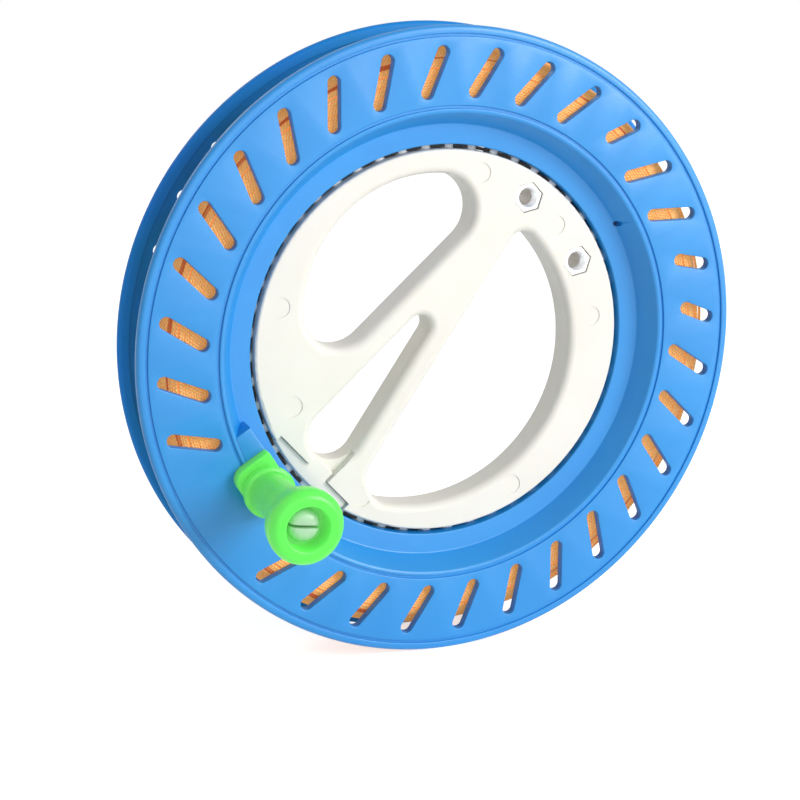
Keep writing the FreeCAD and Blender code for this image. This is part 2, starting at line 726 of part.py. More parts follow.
def lock_recess():
    """The T-shaped recess in the front of the grip, with the side grooves of the slider."""
    top = half_grip + 1
    ends = block((-hub_radius - 1, -lock_chord), LOCK_ENDS, (LOCK_RECESS_FLOOR, top))
    stem = block((-lock_chord - 1, bar_slot_big_end[0]), LOCK_STEM, (LOCK_RECESS_FLOOR, top))
    tongue_top = (LOCK_RECESS_FLOOR + LOCK_TOP) / 2
    grooves = block(
        (-hub_radius - 1, -lock_chord),
        (LOCK_ENDS[0] - LOCK_TONGUE, LOCK_ENDS[1] + LOCK_TONGUE),
        (LOCK_RECESS_FLOOR, tongue_top),
    )
    return in_bar_frame(ends.fuse([stem, grooves]))


def spring_place():
    """Where the lock's spring lies, along the bar and across it, in the bar's own frame."""
    along = -(lock_chord + stem_end_radius()) / 2
    return (along, (LOCK_STEM[0] + LOCK_STEM[1]) / 2)


def stem_end_radius():
    """How far from the spool's axis the slider's stem ends, beside the bar's slot."""
    return BAR_SLOT_BIG_RADIUS - bar_slot_big_end[0] + LOCK_STEM_SETBACK


def spring_pocket():
    along, across = spring_place()
    half_width_of_pocket = SPRING_WIDTH / 2 + SLIDING
    half_length = SPRING_LENGTH / 2 + SLIDING
    pocket = block(
        (along - half_width_of_pocket, along + half_width_of_pocket),
        (across - half_length, across + half_length),
        (LOCK_RECESS_FLOOR - SPRING_SINK, LOCK_TOP),
    )
    return in_bar_frame(pocket)


def grip_front_shell():
    shell = grip_blank()
    shell = shell.cut(grip_hollow(half_grip - GRIP_FACE_WALL))
    holes = []
    for place in grip_screw_places():
        holes.append(pin(SCREW_RADIUS + FITTED, -1, GRIP_SCREW_TIP + SCREW_HOLE_SPARE, place))
        holes.append(pin(MARK_RADIUS, half_grip - MARK_DEPTH, half_grip + 1, place))
    for place in nut_places():
        holes.append(pin(BOLT_HOLE_RADIUS, -1, half_grip, place))
        holes.append(hexagon(NUT_ACROSS_FLATS + 2 * FITTED, half_grip - NUT_THICKNESS,
                             half_grip + 1, place))
    return shell.cut(holes + [lock_recess(), spring_pocket()])


def grip_rear_shell():
    shell = grip_blank()
    shell = shell.cut(grip_hollow(half_grip - GRIP_FACE_WALL))
    holes = []
    for place in grip_screw_places():
        holes.append(pin(SCREW_RADIUS + RUNNING, -1, half_grip, place))
        holes.append(pin(SCREW_HEAD_RADIUS + LOOSE, GRIP_SCREW_FLOOR, half_grip + 1, place))
    for place in nut_places():
        holes.append(pin(BOLT_HOLE_RADIUS, -1, half_grip + 1, place))
    return rear_of(shell.cut(holes))


def grip_screws():
    return [rear_screw(place, GRIP_SCREW_FLOOR, GRIP_SCREW_TIP) for place in grip_screw_places()]


def grip_nuts():
    seat = half_grip - NUT_THICKNESS
    mouth = NUT_BORE_RADIUS + NUT_CHAMFER
    bore = lathe([
        (0, seat),
        (NUT_BORE_RADIUS, seat),
        (NUT_BORE_RADIUS, half_grip - NUT_CHAMFER),
        (mouth, half_grip),
        (0, half_grip),
    ])
    nuts = []
    for place in nut_places():
        nut = hexagon(NUT_ACROSS_FLATS, seat, half_grip, place)
        nuts.append(nut.cut(bore.translated(place)))
    return nuts


# ---------------------------------------------------------------- slide lock


def lock_slider():
    """A T-shaped slider, pushed outwards by its stem until it rubs on the spool's bore."""
    bottom = LOCK_RECESS_FLOOR + SLIDING / 2
    tongue_top = (LOCK_RECESS_FLOOR + LOCK_TOP) / 2 - SLIDING
    rim = hub_radius - LOCK_RIM_SETBACK
    head_edge = -lock_chord - SLIDING
    ends = (LOCK_ENDS[0] + SLIDING, LOCK_ENDS[1] - SLIDING)
    stem = (LOCK_STEM[0] + SLIDING, LOCK_STEM[1] - SLIDING)
    head = block((-rim - 1, head_edge), ends, (bottom, LOCK_TOP))
    tongues = block((-rim - 1, head_edge), (ends[0] - LOCK_TONGUE, ends[1] + LOCK_TONGUE),
                    (bottom, tongue_top))
    shank = block((head_edge - 1, -stem_end_radius()), stem, (bottom, LOCK_TOP))
    slider = head.fuse([tongues, shank])
    slider = slider.common(pin(rim, -half_grip, half_grip))
    along, across = spring_place()
    crown = LOCK_RECESS_FLOOR - SPRING_SINK + SPRING_RISE
    reach = SPRING_WIDTH / 2 + SLIDING
    notch = block((along - reach, along + reach + LOCK_TRAVEL),
                  (across - SPRING_LENGTH * 0.42, across + SPRING_LENGTH * 0.42),
                  (bottom - 1, crown + SLIDING))
    return in_bar_frame(slider.cut(notch))


def lock_spring():
    """The bowed leaf spring under the stem: feet in its pocket, crown in the slider's notch."""
    along, across = spring_place()
    floor = LOCK_RECESS_FLOOR - SPRING_SINK
    half = SPRING_LENGTH / 2
    start = point(across - half, floor)
    middle = point(across, floor + SPRING_RISE - SPRING_THICKNESS)
    end = point(across + half, floor)
    lift = point(0, SPRING_THICKNESS)
    outline = [
        Part.Arc(start, middle, end).toShape(),
        Part.LineSegment(end, end + lift).toShape(),
        Part.Arc(end + lift, middle + lift, start + lift).toShape(),
        Part.LineSegment(start + lift, start).toShape(),
    ]
    leaf = plate(outline, along - SPRING_WIDTH / 2, along + SPRING_WIDTH / 2)
    leaf.rotate(ORIGIN, Z_AXIS, 90)
    leaf.rotate(ORIGIN, point(0, 1, 0), 90)
    return in_bar_frame(leaf)


# ---------------------------------------------------------------- write every node

save("grip_front_shell", [grip_front_shell()])
save("grip_rear_shell", [grip_rear_shell()])
save("grip_screws", grip_screws())
save("grip_nuts", grip_nuts())
save("lock_slider", [lock_slider()])
save("lock_spring", [lock_spring()])
save("bearing_balls", bearing_balls())
save("ball_cage", [ball_cage()])
save("spool_front_half", [spool_front_half()])
save("spool_rear_half", [spool_rear_half()])
save("spool_screws", spool_screws())
save("line_winding", [line_winding()])
save("line_knot", [line_knot()])
save("knob_base", [knob_base()])
save("knob_post", [knob_post()])
save("knob_post_screw", [knob_post_screw()])
save("knob_washer", [knob_washer()])
save("knob_grip", [knob_grip()])
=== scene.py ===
import math
import random

import bmesh
import bpy
from mathutils import Matrix, Vector


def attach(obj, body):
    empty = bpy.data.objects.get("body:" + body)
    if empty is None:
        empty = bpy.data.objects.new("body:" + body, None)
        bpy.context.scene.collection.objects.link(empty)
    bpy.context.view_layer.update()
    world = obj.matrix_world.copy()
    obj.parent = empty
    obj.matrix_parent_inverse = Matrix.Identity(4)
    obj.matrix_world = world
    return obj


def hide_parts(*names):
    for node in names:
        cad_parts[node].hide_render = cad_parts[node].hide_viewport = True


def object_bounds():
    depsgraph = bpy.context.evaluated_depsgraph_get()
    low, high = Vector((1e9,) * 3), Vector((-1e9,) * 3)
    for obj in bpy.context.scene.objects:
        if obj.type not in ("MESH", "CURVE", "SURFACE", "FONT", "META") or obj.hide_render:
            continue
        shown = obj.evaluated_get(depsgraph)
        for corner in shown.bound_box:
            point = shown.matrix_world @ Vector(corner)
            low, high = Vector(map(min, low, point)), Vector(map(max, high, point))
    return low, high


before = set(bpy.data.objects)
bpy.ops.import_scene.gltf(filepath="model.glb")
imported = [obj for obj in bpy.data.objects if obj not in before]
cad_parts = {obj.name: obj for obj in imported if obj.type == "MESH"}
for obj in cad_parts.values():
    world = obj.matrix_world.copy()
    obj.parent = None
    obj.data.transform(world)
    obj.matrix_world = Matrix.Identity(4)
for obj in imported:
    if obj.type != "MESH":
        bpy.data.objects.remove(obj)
cad_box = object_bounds()
scene = bpy.context.scene
scene.view_settings.view_transform = "Standard"

# ---------------------------------------------------------------- camera
# A long lens a little over half a metre away, to the left of the reel and slightly
# above it, so that the cone, the bearing gap and the side of the knob all show.
CAMERA_AZIMUTH = math.radians(-22.21)
CAMERA_ELEVATION = math.radians(12.88)
CAMERA_DISTANCE = 0.5247
CAMERA_LENS = 81.96
CAMERA_SHIFT = (-0.0433, -0.0763)

camera = bpy.data.objects.new("camera", bpy.data.cameras.new("camera"))
scene.collection.objects.link(camera)
scene.camera = camera
camera.data.lens = CAMERA_LENS
camera.data.shift_x, camera.data.shift_y = CAMERA_SHIFT
line_of_sight = Vector((
    math.sin(CAMERA_AZIMUTH) * math.cos(CAMERA_ELEVATION),
    -math.cos(CAMERA_AZIMUTH) * math.cos(CAMERA_ELEVATION),
    math.sin(CAMERA_ELEVATION),
))
camera.location = line_of_sight * CAMERA_DISTANCE
camera.rotation_euler = line_of_sight.to_track_quat("Z", "Y").to_euler()

# ---------------------------------------------------------------- floor and light
# A white table top that takes the reel's shadow, and a white surround. What the
# camera and reflections see of both is white, whatever light falls on them.
FLOOR_HALF_SIZE = 1.6
FLOOR_COLOUR = (0.92, 0.92, 0.92, 1)
FLOOR_LIFT = 0.62
SURROUND_LEVEL = 0.33


def object_from(name, bm):
    """A new object in the scene with this bmesh, which is used up, as its mesh."""
    mesh = bpy.data.meshes.new(name)
    bm.to_mesh(mesh)
    bm.free()
    made = bpy.data.objects.new(name, mesh)
    scene.collection.objects.link(made)
    return made


def new_finish(name):
    """A new material: the material itself, its node tree and its surface."""
    finish = bpy.data.materials.new(name)
    finish.use_nodes = True
    return finish, finish.node_tree, finish.node_tree.nodes["Principled BSDF"]


def seen_or_reflected(tree):
    """One where the camera looks, straight on, by reflection or through something clear."""
    paths = tree.nodes.new("ShaderNodeLightPath")
    share = paths.outputs["Is Camera Ray"]
    for kind in ("Is Glossy Ray", "Is Transmission Ray"):
        either = tree.nodes.new("ShaderNodeMath")
        either.operation = "MAXIMUM"
        tree.links.new(share, either.inputs[0])
        tree.links.new(paths.outputs[kind], either.inputs[1])
        share = either.outputs[0]
    return share


bm = bmesh.new()
bmesh.ops.create_grid(bm, x_segments=1, y_segments=1, size=FLOOR_HALF_SIZE)
bmesh.ops.translate(bm, vec=(0, 0, cad_box[0].z), verts=bm.verts)
floor = object_from("floor", bm)

floor_finish, tree, board = new_finish("white_table")
board.inputs["Base Color"].default_value = FLOOR_COLOUR
board.inputs["Roughness"].default_value = 0.7
board.inputs["Specular IOR Level"].default_value = 0.2
glow = tree.nodes.new("ShaderNodeEmission")
glow.inputs["Strength"].default_value = FLOOR_LIFT
lift = tree.nodes.new("ShaderNodeAddShader")
seen = tree.nodes.new("ShaderNodeMixShader")
tree.links.new(board.outputs[0], lift.inputs[0])
tree.links.new(glow.outputs[0], lift.inputs[1])
tree.links.new(seen_or_reflected(tree), seen.inputs[0])
tree.links.new(board.outputs[0], seen.inputs[1])
tree.links.new(lift.outputs[0], seen.inputs[2])
tree.links.new(seen.outputs[0], tree.nodes["Material Output"].inputs[0])
floor.data.materials.append(floor_finish)

surround = bpy.data.worlds.new("surround")
scene.world = surround
surround.use_nodes = True
tree = surround.node_tree
dim = tree.nodes["Background"]
dim.inputs["Color"].default_value = (1, 1, 1, 1)
dim.inputs["Strength"].default_value = SURROUND_LEVEL
white = tree.nodes.new("ShaderNodeBackground")
white.inputs["Color"].default_value = (1, 1, 1, 1)
white.inputs["Strength"].default_value = 1.0
choose = tree.nodes.new("ShaderNodeMixShader")
tree.links.new(seen_or_reflected(tree), choose.inputs[0])
tree.links.new(dim.outputs[0], choose.inputs[1])
tree.links.new(white.outputs[0], choose.inputs[2])
tree.links.new(choose.outputs[0], tree.nodes["World Output"].inputs[0])

LAMPS = (
    # name, place, size, watts
    ("window_right", (0.88, -1.08, 0.55), 0.8, 19.0),
    ("front_fill", (-0.35, -1.4, 0.25), 1.1, 4.0),
    ("back_light", (-0.5, 1.0, 0.8), 0.9, 3.0),
)
for lamp_name, place, size, watts in LAMPS:
    lamp = bpy.data.lights.new(lamp_name, "AREA")
    lamp.size = size
    lamp.energy = watts
    lamp_object = bpy.data.objects.new(lamp_name, lamp)
    lamp_object.location = place
    lamp_object.rotation_euler = Vector(place).to_track_quat("Z", "Y").to_euler()
    scene.collection.objects.link(lamp_object)

# ---------------------------------------------------------------- spool halves
# Two sky-blue mouldings, front and rear, joined by screws at the middle of the drum:
# a slotted flange, a cone that drops to the bearing ring, and half of the drum. Each is
# drawn lying flat in millimetres with its front up, then stood up and brought to metres.
HALF_WIDTH = 12.5
FLANGE_THICKNESS = 3.0
FLANGE_RADIUS = 90.0
RIM_GROOVE = (86.95, 87.65)
INNER_GROOVE = (67.35, 68.1)
GROOVE_DEPTH = 0.55
DRUM_RADIUS = 69.0
BORE_RADIUS = 56.8
BEARING_RING_HEIGHT = 5.6
CONE_FOOT = 62.6
CONE_TOP = 66.2
RACE_CIRCLE = 56.1
RACE_RADIUS = 2.3
RACE_HALF_HEIGHT = 2.19
# Of 32 places for a slot, the two beside the knob are bare.
SLOT_PITCHES = 32
SLOT_COUNT = 30
FIRST_SLOT_ANGLE = 194.78
SLOT_CIRCLE = 77.36
SLOT_HALF_WIDTH = 1.85
SLOT_HALF_RUN = 5.925
SLOT_TILT = 26.5
SHORT_SLOTS = {13: 4.0, 16: 4.0, 17: 4.0}
SLOT_SOFTNESS = 0.28
KNOB_ANGLE = -148.35
KNOB_CIRCLE = 65.4
PLATFORM_HALF_LENGTH = 16.6
PLATFORM_INNER_SIDE = -6.1
PLATFORM_OUTER_RADIUS = 66.4
SCREW_ANGLES = [KNOB_ANGLE + 30 + 60 * number for number in range(6)]
SCREW_CIRCLE = 63.4
SCREW_WELL_RADIUS = 2.55
SCREW_WELL_FLOOR = 3.6
THREADING_HOLE_CIRCLE = 63.2
THREADING_HOLE_ANGLE = 29.6
THREADING_HOLE_RADIUS = 0.9
THREADING_HOLE_FLOOR = 1.0
CLEAR_OF_FACE = HALF_WIDTH + 0.5
STEPS_PER_PITCH = 12
ROUND_STEPS = STEPS_PER_PITCH * SLOT_PITCHES
TO_PLACE = Matrix.Scale(0.001, 4) @ Matrix.Rotation(math.pi / 2, 4, "X")


def polar(radius, degrees, height=0.0):
    """A point at this radius and angle about the reel's axis, drawn flat."""
    turn = math.radians(degrees)
    return Vector((radius * math.cos(turn), radius * math.sin(turn), height))


def add(bm, other):
    """Put everything in the other bmesh into this one and return its new corners."""
    mesh = bpy.data.meshes.new("added")
    other.to_mesh(mesh)
    other.free()
    already = len(bm.verts)
    bm.from_mesh(mesh)
    bpy.data.meshes.remove(mesh)
    bm.verts.ensure_lookup_table()
    return bm.verts[already:]


def turned_ring(profile, steps):
    """Spin a closed outline of (radius, height, rounding) corners about an upright axis."""
    ring = bmesh.new()
    corners = [ring.verts.new((radius, 0, height)) for radius, height, rounding in profile]
    ring.faces.new(corners)
    for corner, (radius, height, rounding) in zip(corners, profile):
        if rounding:
            bmesh.ops.bevel(ring, geom=[corner], offset=rounding, affect="VERTICES", segments=4,
                            profile=0.5, material=-1)
    bmesh.ops.delete(ring, geom=list(ring.faces), context="FACES_ONLY")
    bmesh.ops.spin(ring, geom=list(ring.verts) + list(ring.edges), cent=(0, 0, 0),
                   axis=(0, 0, 1), angle=math.tau, steps=steps, use_merge=True)
    bmesh.ops.recalc_face_normals(ring, faces=ring.faces)
    return ring


def soften(bm, faces, radius):
    """Round the border of a region over, with three inset rings on a quarter circle."""
    for inwards, upwards in ((0.134, 0.5), (0.366, 0.366), (0.5, 0.134)):
        bmesh.ops.inset_region(bm, faces=faces, thickness=inwards * radius,
                               depth=upwards * radius, use_boundary=True, use_even_offset=True)


def thicken(bm, faces, thickness, softness, soft_below=True):
    """Raise a flat region to a plate and soften the edges of its two sides."""
    bmesh.ops.recalc_face_normals(bm, faces=faces)
    if faces[0].normal.z > 0:
        bmesh.ops.reverse_faces(bm, faces=faces)
    lower = list(faces)
    raised = bmesh.ops.extrude_face_region(bm, geom=lower, use_keep_orig=True)
    upper = [item for item in raised["geom"] if isinstance(item, bmesh.types.BMFace)]
    lift_verts = [item for item in raised["geom"] if isinstance(item, bmesh.types.BMVert)]
    straight = thickness - softness * (2 if soft_below else 1)
    bmesh.ops.translate(bm, vec=(0, 0, straight), verts=lift_verts)
    bmesh.ops.reverse_faces(bm, faces=upper)
    soften(bm, upper, softness)
    if soft_below:
        soften(bm, lower, softness)


def loop_of(bm, points):
    """A closed ring of edges through these points."""
    ring = [bm.verts.new(p) for p in points]
    return [bm.edges.new((ring[i - 1], ring[i])) for i in range(len(ring))]


def slab(bm, outline, low, high, softness):
    """A plate of any outline between two heights, with soft upper edges."""
    face = bm.faces.new([bm.verts.new((x, y, low)) for x, y in outline])
    thicken(bm, [face], high - low, softness, soft_below=False)


def slot_ring(bm, angle, shorter, height):
    """The outline of one slot: a circle pulled apart, tilted and set on its pitch."""
    steps = 24
    rim = bmesh.ops.create_circle(bm, cap_ends=False, radius=SLOT_HALF_WIDTH,
                                  segments=steps)["verts"]
    half_step = Matrix.Rotation(math.pi / steps, 3, "Z")
    bmesh.ops.rotate(bm, verts=rim, cent=(0, 0, 0), matrix=half_step)
    for v in rim:
        v.co.x += SLOT_HALF_RUN if v.co.x > 0 else shorter - SLOT_HALF_RUN
    place = (Matrix.Rotation(math.radians(angle), 4, "Z")
             @ Matrix.Translation((SLOT_CIRCLE, 0, height))
             @ Matrix.Rotation(math.radians(-SLOT_TILT), 4, "Z"))
    bmesh.ops.transform(bm, matrix=place, verts=rim)
    return list({e for v in rim for e in v.link_edges})


def slotted_flange(bm):
    """The flat of the flange between its two fine grooves, one pitch of slots at a time."""
    base = HALF_WIDTH - FLANGE_THICKNESS + SLOT_SOFTNESS
    pitch = 360 / SLOT_PITCHES
    inner, outer = INNER_GROOVE[1], RIM_GROOVE[0]
    for number in range(SLOT_PITCHES):
        middle = FIRST_SLOT_ANGLE - pitch * number
        angles = [middle + pitch * (step / STEPS_PER_PITCH - 0.5)
                  for step in range(STEPS_PER_PITCH + 1)]
        border = [polar(outer, a, base) for a in angles]
        border += [polar(inner, a, base) for a in reversed(angles)]
        edges = loop_of(bm, border)
        if number < SLOT_COUNT:
            edges += slot_ring(bm, middle, SHORT_SLOTS.get(number, 0.0), base)
        bmesh.ops.triangle_fill(bm, use_beauty=True, use_dissolve=False, edges=edges)
    bmesh.ops.remove_doubles(bm, verts=bm.verts, dist=1e-3)
    thicken(bm, list(bm.faces), FLANGE_THICKNESS, SLOT_SOFTNESS)


def race_arc():
    """Corners of the race, from the middle plane of the bearing to the bore."""
    reach = math.asin(RACE_HALF_HEIGHT / RACE_RADIUS)
    return [(RACE_CIRCLE + RACE_RADIUS * math.cos(reach * k / 4),
             RACE_RADIUS * math.sin(reach * k / 4), 0) for k in range(5)]


def bored(bm, holes):
    """Cut round holes, given as (x, y, radius, low, high), out of one closed solid."""
    pins = bmesh.new()
    for x, y, radius, low, high in holes:
        pin = bmesh.ops.create_cone(pins, cap_ends=True, segments=32, radius1=radius,
                                    radius2=radius, depth=high - low)["verts"]
        bmesh.ops.translate(pins, vec=(x, y, (low + high) / 2), verts=pin)
    solid = object_from("solid", bm)
    drill = object_from("drill", pins)
    cut = solid.modifiers.new("holes", "BOOLEAN")
    cut.object = drill
    cut.solver = "EXACT"
    shown = solid.evaluated_get(bpy.context.evaluated_depsgraph_get())
    finished = bpy.data.meshes.new_from_object(shown)
    bored_solid = bmesh.new()
    bored_solid.from_mesh(finished)
    used_meshes = (finished, solid.data, drill.data)
    for used in (solid, drill):
        bpy.data.objects.remove(used)
    for mesh in used_meshes:
        bpy.data.meshes.remove(mesh)
    return bored_solid


def spool_half(rear):
    """One half as a bmesh of closed solids, front up; the rear half is its mirror image."""
    bm = bmesh.new()
    slotted_flange(bm)
    floor_of_groove = HALF_WIDTH - GROOVE_DEPTH
    back = HALF_WIDTH - FLANGE_THICKNESS
    body = turned_ring(race_arc() + [
        (BORE_RADIUS, BEARING_RING_HEIGHT, 0.4),
        (CONE_FOOT, BEARING_RING_HEIGHT, 0.35),
        (CONE_TOP, HALF_WIDTH, 0.6),
        (INNER_GROOVE[0], HALF_WIDTH, 0.3),
        (INNER_GROOVE[0], floor_of_groove, 0),
        (INNER_GROOVE[1], floor_of_groove, 0),
        (INNER_GROOVE[1], back, 0),
        (DRUM_RADIUS, back, 0.3),
        (DRUM_RADIUS, 0, 0),
    ], ROUND_STEPS)
    if rear:
        holes = [(*polar(SCREW_CIRCLE, angle)[:2], SCREW_WELL_RADIUS, SCREW_WELL_FLOOR,
                  CLEAR_OF_FACE) for angle in SCREW_ANGLES]
    else:
        place = polar(THREADING_HOLE_CIRCLE, THREADING_HOLE_ANGLE)
        holes = [(*place[:2], THREADING_HOLE_RADIUS, THREADING_HOLE_FLOOR, CLEAR_OF_FACE)]
    add(bm, bored(body, holes))
    add(bm, turned_ring([
        (RIM_GROOVE[0], back, 0),
        (FLANGE_RADIUS, back, 1.2),
        (FLANGE_RADIUS, HALF_WIDTH, 1.3),
        (RIM_GROOVE[1], HALF_WIDTH, 0.3),
        (RIM_GROOVE[1], floor_of_groove, 0),
        (RIM_GROOVE[0], floor_of_groove, 0),
    ], ROUND_STEPS))
    if rear:
        bmesh.ops.scale(bm, vec=(1, 1, -1), verts=bm.verts)
    else:
        reach = math.degrees(math.asin(PLATFORM_HALF_LENGTH / PLATFORM_OUTER_RADIUS))
        inside = KNOB_CIRCLE + PLATFORM_INNER_SIDE
        outline = [(inside, PLATFORM_HALF_LENGTH), (inside, -PLATFORM_HALF_LENGTH)]
        outline += [polar(PLATFORM_OUTER_RADIUS, reach * k / 6)[:2] for k in range(-6, 7)]
        platform = bmesh.new()
        slab(platform, outline, BEARING_RING_HEIGHT - 1, HALF_WIDTH, 0.5)
        bmesh.ops.rotate(platform, verts=platform.verts, cent=(0, 0, 0),
                         matrix=Matrix.Rotation(math.radians(KNOB_ANGLE), 3, "Z"))
        add(bm, platform)
    return bm


def smooth_shade(mesh, sharp):
    """Smooth shading that stops at edges sharper than this many degrees."""
    mesh.polygons.foreach_set("use_smooth", [True] * len(mesh.polygons))
    mesh.set_sharp_from_angle(angle=math.radians(sharp))


def as_piece(bm, name, body, replaced, sharp=35):
    """Stand a flat-drawn bmesh up as a finished, smooth-shaded piece on its body."""
    bmesh.ops.remove_doubles(bm, verts=bm.verts, dist=1e-4)
    bmesh.ops.recalc_face_normals(bm, faces=bm.faces)
    bmesh.ops.transform(bm, matrix=TO_PLACE, verts=bm.verts)
    piece = object_from(name, bm)
    smooth_shade(piece.data, sharp)
    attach(piece, body)
    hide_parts(replaced)
    return piece


def dress(piece, finish):
    """Give a piece this finish and no other."""
    piece.data.materials.clear()
    piece.data.materials.append(finish)


def noise_of(tree, coordinates, scale, detail, roughness):
    """A noise pattern of this many cells to the metre."""
    noise = tree.nodes.new("ShaderNodeTexNoise")
    noise.inputs["Scale"].default_value = scale
    noise.inputs["Detail"].default_value = detail
    noise.inputs["Roughness"].default_value = roughness
    tree.links.new(coordinates, noise.inputs["Vector"])
    return noise.outputs["Fac"]


def spread(tree, value, low, high, from_low=0.3, from_high=0.7):
    """The value stretched so that its middle range runs from low to high."""
    remap = tree.nodes.new("ShaderNodeMapRange")
    for socket, number in zip(remap.inputs[1:5], (from_low, from_high, low, high)):
        socket.default_value = number
    tree.links.new(value, remap.inputs[0])
    return remap.outputs[0]


def blended(tree, share, first, second):
    """Two colours, or the output of another blend and a colour, mixed by a share."""
    mix = tree.nodes.new("ShaderNodeMix")
    mix.data_type = "RGBA"
    for socket, colour in ((mix.inputs[6], first), (mix.inputs[7], second)):
        if isinstance(colour, bpy.types.NodeSocket):
            tree.links.new(colour, socket)
        else:
            socket.default_value = (*colour, 1)
    tree.links.new(share, mix.inputs[0])
    return mix.outputs[2]


def bumped(tree, surface, height, depth):
    """Raise the surface by a pattern, this many metres from its low to its high."""
    bump = tree.nodes.new("ShaderNodeBump")
    bump.inputs["Strength"].default_value = 1.0
    bump.inputs["Distance"].default_value = depth
    tree.links.new(height, bump.inputs["Height"])
    if surface.inputs["Normal"].is_linked:
        tree.links.new(surface.inputs["Normal"].links[0].from_socket, bump.inputs["Normal"])
    tree.links.new(bump.outputs[0], surface.inputs["Normal"])


def srgb(red, green, blue):
    """A colour given in the 0 to 255 steps of a colour chart, as light."""
    return tuple(((c / 255 + 0.055) / 1.055) ** 2.4 if c > 10 else c / 255 / 12.92
                 for c in (red, green, blue))


def moulded_plastic(name, colour, deep_colour, gloss, grain=0.000012, sheen=0.5):
    """Moulded plastic: faint flow clouding, a fine grain, rubbed spots and hair marks."""
    finish, tree, surface = new_finish(name)
    surface.inputs["Specular IOR Level"].default_value = sheen
    place = tree.nodes.new("ShaderNodeTexCoord").outputs["Object"]
    clouds = spread(tree, noise_of(tree, place, 38, 3, 0.55), 0.0, 1.0)
    tree.links.new(blended(tree, clouds, colour, deep_colour), surface.inputs["Base Color"])
    rubbed = noise_of(tree, place, 120, 4, 0.65)
    tree.links.new(spread(tree, rubbed, gloss - 0.05, gloss + 0.07), surface.inputs["Roughness"])
    stretch = tree.nodes.new("ShaderNodeMapping")
    stretch.inputs["Rotation"].default_value = (0.3, 0.5, 0.9)
    stretch.inputs["Scale"].default_value = (1, 1, 14)
    tree.links.new(place, stretch.inputs["Vector"])
    hairs = noise_of(tree, stretch.outputs[0], 260, 2, 0.5)
    bumped(tree, surface, spread(tree, hairs, 0, 1, 0.45, 0.75), grain * 0.6)
    bumped(tree, surface, noise_of(tree, place, 2600, 3, 0.6), grain)
    return finish


SKY_BLUE = srgb(16, 140, 214)
DEEP_SKY_BLUE = srgb(10, 133, 208)
PAINTED_SHADE_SKY_BLUE = srgb(18, 128, 226)

dress(as_piece(spool_half(rear=False), "spool_front", "spool",
               "spool_front_half"),
      moulded_plastic("sky_blue_satin_plastic", SKY_BLUE, DEEP_SKY_BLUE, 0.42, sheen=0.78))
# The rear half is the same plastic as the front; its deeper blue and lower sheen are painted
# shade, for the shadow it lies in behind the front flange.
dress(as_piece(spool_half(rear=True), "spool_rear", "spool", "spool_rear_half"),
      moulded_plastic("sky_blue_plastic_painted_shade", PAINTED_SHADE_SKY_BLUE, DEEP_SKY_BLUE, 0.5, sheen=0.25))

# ---------------------------------------------------------------- wound line
# Some hundreds of metres of thin twisted line, orange with red-brown stretches, wound in
# close turns on the drum. The turns that show are real rings: one layer round the
# outside and one stack at each flange, with a few slack turns riding on top.
LINE_SIDE_RADIUS = 78.0
LINE_CROWN = 7.0
LINE_HALF_WIDTH = 9.4
TURN_THICKNESS = 0.74
TURN_RADIUS = TURN_THICKNESS * 0.54
TURN_STEPS = 192
WRINKLE = 0.1
CORE_OFF_DRUM = 0.05
CORE_OFF_SIDES = 0.4
STACK_OFF_DRUM = 0.45
STACK_UNDER_SIDE = 1.0
HEAP_OFF_SIDES = 0.09
TWISTS_PER_TURN = 520
TWIST_SLANT_OUTWARDS = 5200
TWIST_SLANT_SIDEWAYS = 4100
BROWN_BAND_INNER_EDGE = (0.0796, 0.0801)
BROWN_BAND_OUTER_EDGE = (0.0809, 0.0814)
LINE_TAN = srgb(255, 196, 118)
LINE_ORANGE = srgb(252, 178, 92)
LINE_BROWN = srgb(206, 92, 34)
LINE_TWIST_SHADE = srgb(216, 118, 48)
SLACK_TURNS = (
    # radius and height on the heap, how far it stands off, angle where it does
    (79.0, 8.2, 3.4, -24),
    (82.6, 5.2, 1.7, -4),
    (81.4, 6.4, 1.9, -52),
    (84.8, -2.6, 0.9, 30),
    (82.0, -6.2, 1.5, 140),
)

draws = random.Random(7)


def turn_of_line(bm, radius, height, slack=0.0, slack_angle=0.0):
    """One turn of line, a thin ring that wanders a little sideways and in and out."""
    already = len(bm.verts)
    bm.from_mesh(one_turn)
    bm.verts.ensure_lookup_table()
    waves = [(draws.randint(3, 17), draws.uniform(0, math.tau), draws.uniform(0.3, 1.0))
             for _ in range(4)]
    for v in bm.verts[already:]:
        angle = math.atan2(v.co.y, v.co.x)
        drift = sum(size * math.sin(count * angle + start) for count, start, size in waves) / 4
        lift = sum(size * math.cos(count * angle - start) for count, start, size in waves) / 4
        off = slack * max(0.0, math.cos(angle - math.radians(slack_angle))) ** 3
        outwards = radius - LINE_SIDE_RADIUS + WRINKLE * lift + off
        grow = 1 + outwards / math.hypot(v.co.x, v.co.y)
        v.co.x *= grow
        v.co.y *= grow
        v.co.z += height + WRINKLE * 1.6 * drift


ring = bmesh.new()
section = bmesh.ops.create_circle(ring, cap_ends=False, radius=TURN_RADIUS, segments=6,
                                  matrix=Matrix.Rotation(math.pi / 2, 4, "X"))["verts"]
bmesh.ops.translate(ring, vec=(LINE_SIDE_RADIUS, 0, 0), verts=section)
bmesh.ops.spin(ring, geom=list(ring.verts) + list(ring.edges), cent=(0, 0, 0), axis=(0, 0, 1),
               angle=math.tau, steps=TURN_STEPS, use_merge=True)
bmesh.ops.recalc_face_normals(ring, faces=ring.faces)
one_turn = bpy.data.meshes.new("one_turn")
ring.to_mesh(one_turn)
ring.free()

heap_radius = (LINE_CROWN ** 2 + LINE_HALF_WIDTH ** 2) / (2 * LINE_CROWN)
heap_centre = LINE_SIDE_RADIUS + LINE_CROWN - heap_radius
heap_reach = math.asin(LINE_HALF_WIDTH / heap_radius)


